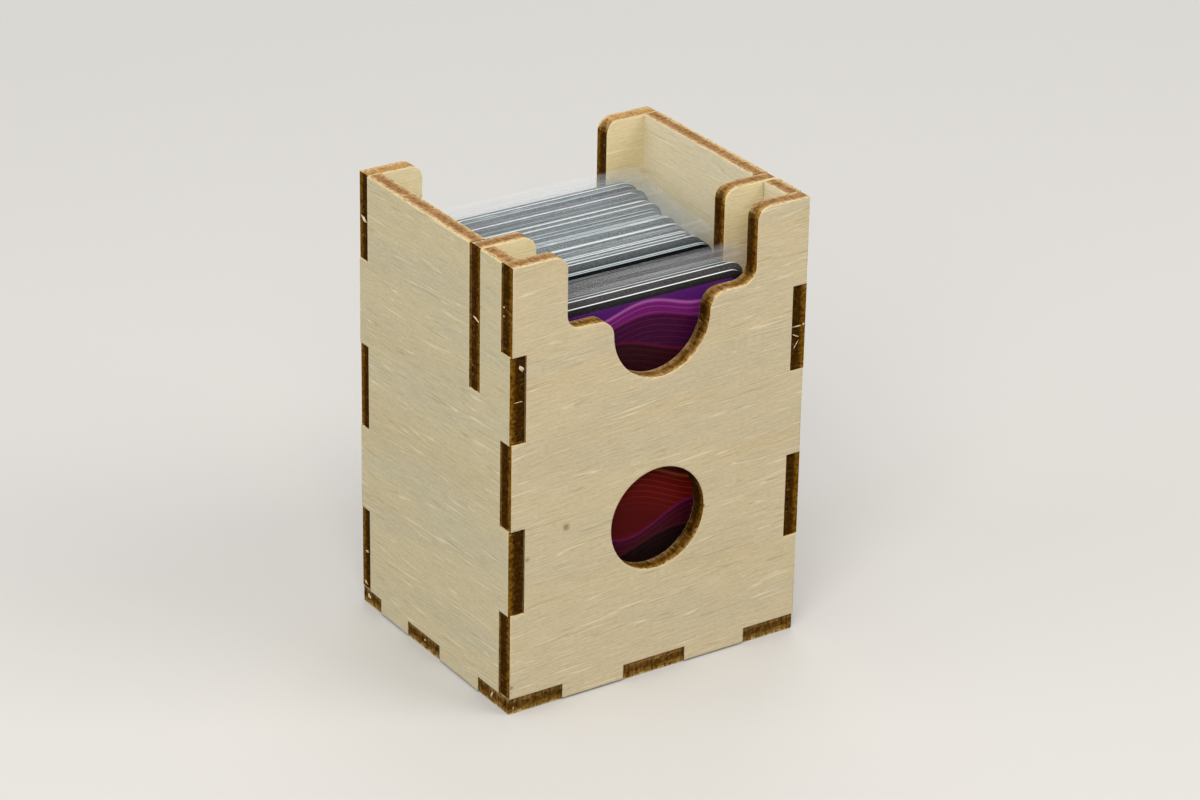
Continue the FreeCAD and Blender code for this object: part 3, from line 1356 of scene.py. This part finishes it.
@dataclass
class SleevedCards(Assembly):
    """All cards in their sleeves: singles in the front compartment and packs in the main one."""

    single_numbers: tuple[float, ...] = (0.1, 0.05, 0.5, 0.68)
    packs: int = 5
    rise: float = 1.0

    def pieces(self) -> list[Piece]:
        """Lists the cards, each before its sleeve.

        Returns:
            The cards and sleeves.
        """
        pieces = []
        for n, number in enumerate(self.single_numbers, start=1):
            pieces.append(Cards(f"front_card_{n}", f"front_card_{n}", number=number))
            pieces.append(Sleeves(f"front_sleeve_{n}", f"front_card_{n}", bright=True))
        for n in range(1, self.packs + 1):
            pieces.append(Cards(f"deck_cards_{n}", f"deck_pack_{n}", rise=self.rise))
            pieces.append(Sleeves(f"deck_sleeves_{n}", f"deck_pack_{n}"))
        return pieces


@dataclass
class Softbox:
    """A large soft lamp, its place and size in metres and its power in watts."""

    name: str
    place: Triple
    size: float
    power: float
    tint: str = "#FFFFFF"

    def make(self, aim: Vector) -> None:
        """Hangs the lamp and turns it to a point.

        Args:
            aim: The point.
        """
        lamp = bpy.data.lights.new(self.name, "AREA")
        lamp.shape = "SQUARE"
        lamp.size = self.size
        lamp.energy = self.power
        lamp.color = linear(self.tint)[:3]
        holder = bpy.data.objects.new(self.name, lamp)
        holder.location = self.place
        holder.rotation_euler = (aim - Vector(self.place)).to_track_quat("-Z", "Y").to_euler()
        bpy.context.scene.collection.objects.link(holder)


@dataclass
class Studio:
    """Pale paper floor, soft lamps, even surroundings and the camera, in metres."""

    paper: StudioPaper = StudioPaper()
    floor_half: float = 3.0
    surround: str = "#FFFFFF"
    surround_strength: float = 0.48
    eye: Triple = (-0.34661, -0.52426, 0.34062)
    look: Triple = (0.502388, 0.750862, -0.428734)
    roll: float = math.radians(1.085)
    lens: float = 119.79
    lamps: tuple[Softbox, ...] = (
        Softbox("key_softbox", (-0.55, -0.6, 0.75), 0.7, 8.3, "#FFFAF2"),
        Softbox("right_softbox", (0.6, -0.7, 0.75), 0.7, 5.75, "#FFFAF2"),
        Softbox("left_softbox", (-0.95, 0.25, 0.5), 0.7, 2.9, "#FFFAF2"),
        Softbox("top_softbox", (0.0, 0.05, 1.2), 0.8, 1.75, "#F6FAFF"),
        Softbox("rear_softbox", (0.6, 0.9, 0.5), 0.8, 3.45),
    )

    def make(self) -> None:
        """Builds floor, lamps, surroundings and camera."""
        self.floor()
        aim = (Vector(cad_bounds[0]) + Vector(cad_bounds[1])) / 2
        for lamp in self.lamps:
            lamp.make(aim)
        world = bpy.data.worlds.new("studio")
        tree = empty_tree(world)
        even = {"Color": linear(self.surround), "Strength": self.surround_strength}
        light = add(tree, "Background", even)
        pale = add(tree, "Background", {"Color": linear(self.paper.backdrop)})
        air = add(tree, "MixShader", {0: seen_rays(tree), 1: light, 2: pale})
        add(tree, "OutputWorld", {"Surface": air})
        bpy.context.scene.world = world
        self.camera()

    def floor(self) -> None:
        """Lays the paper under the box."""
        shape = bmesh.new()
        bmesh.ops.create_grid(shape, x_segments=8, y_segments=8, size=self.floor_half)
        mesh = bpy.data.meshes.new("floor_paper_mesh")
        shape.to_mesh(mesh)
        shape.free()
        mesh.materials.append(self.paper.material())
        paper = bpy.data.objects.new("floor_paper", mesh)
        bpy.context.scene.collection.objects.link(paper)

    def camera(self) -> None:
        """Stands the camera at the photograph's viewpoint, with its slight roll."""
        look = Vector(self.look).normalized()
        level = look.cross(Vector((0.0, 0.0, 1.0))).normalized()
        right = math.cos(self.roll) * level + math.sin(self.roll) * level.cross(look)
        upward = right.cross(look)
        data = bpy.data.cameras.new("photo_camera")
        data.lens = self.lens
        data.sensor_width = 36.0
        data.sensor_fit = "HORIZONTAL"
        data.clip_start = 0.01
        camera = bpy.data.objects.new("photo_camera", data)
        turn = Matrix((right, upward, -look)).transposed()
        camera.matrix_world = Matrix.Translation(Vector(self.eye)) @ turn.to_4x4()
        bpy.context.scene.collection.objects.link(camera)
        bpy.context.scene.camera = camera


def main() -> None:
    """Builds the box, its divider and cards, then the studio."""
    logging.basicConfig(level=logging.INFO, format="%(message)s")
    scene = bpy.context.scene
    scene.view_settings.view_transform = "Standard"
    # A sight line through the deck crosses some thirty surfaces of film.
    scene.cycles.transparent_max_bounces = 128
    materials = {finish: finish.value.material() for finish in Finish}
    CardBox().make(materials)
    Divider().make(materials)
    SleevedCards().make(materials)
    Studio().make()


if __name__ == "__main__":
    main()
